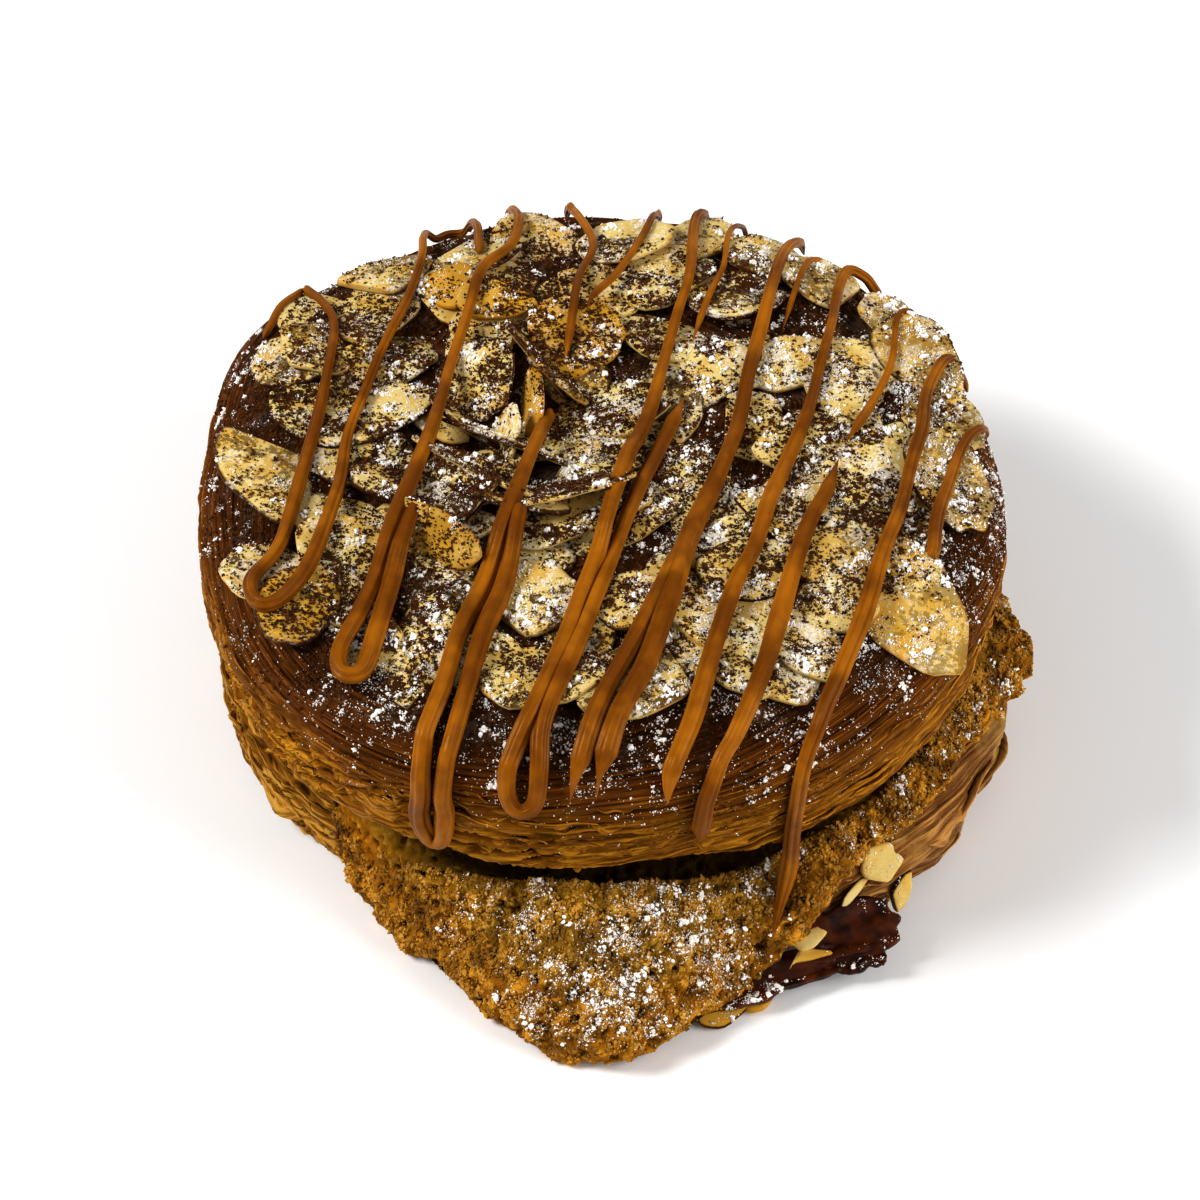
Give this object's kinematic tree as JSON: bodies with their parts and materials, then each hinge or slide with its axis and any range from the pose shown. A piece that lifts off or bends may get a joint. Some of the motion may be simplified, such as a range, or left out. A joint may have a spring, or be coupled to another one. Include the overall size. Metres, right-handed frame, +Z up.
{
  "type": "twice-baked croissant",
  "caption": "Round twice-baked croissant, split and filled with almond cream that runs out at the front, topped with sliced almonds and strands of caramel.",
  "frame": {"origin": "middle of the flat underside, on the axis of the upper half, in the plane the croissant rests on", "axes": "+Z up through the croissant; -Y towards the front, where the almond cream runs down in a tongue; +X to the right seen from the front"},
  "size_m": [0.1185, 0.1306, 0.0524],
  "materials": {
    "upper_crust": "dark baked laminated dough with toasted almonds, caramel, cocoa and icing sugar on it",
    "almond_cream": "coarse baked almond cream, golden to orange brown, dusted with icing sugar",
    "lower_crust": "golden brown flaky dough"
  },
  "bodies": {
    "root": {"croissant_top": "upper_crust", "almond_cream": "almond_cream", "croissant_base": "lower_crust"}
  },
  "joints": []
}
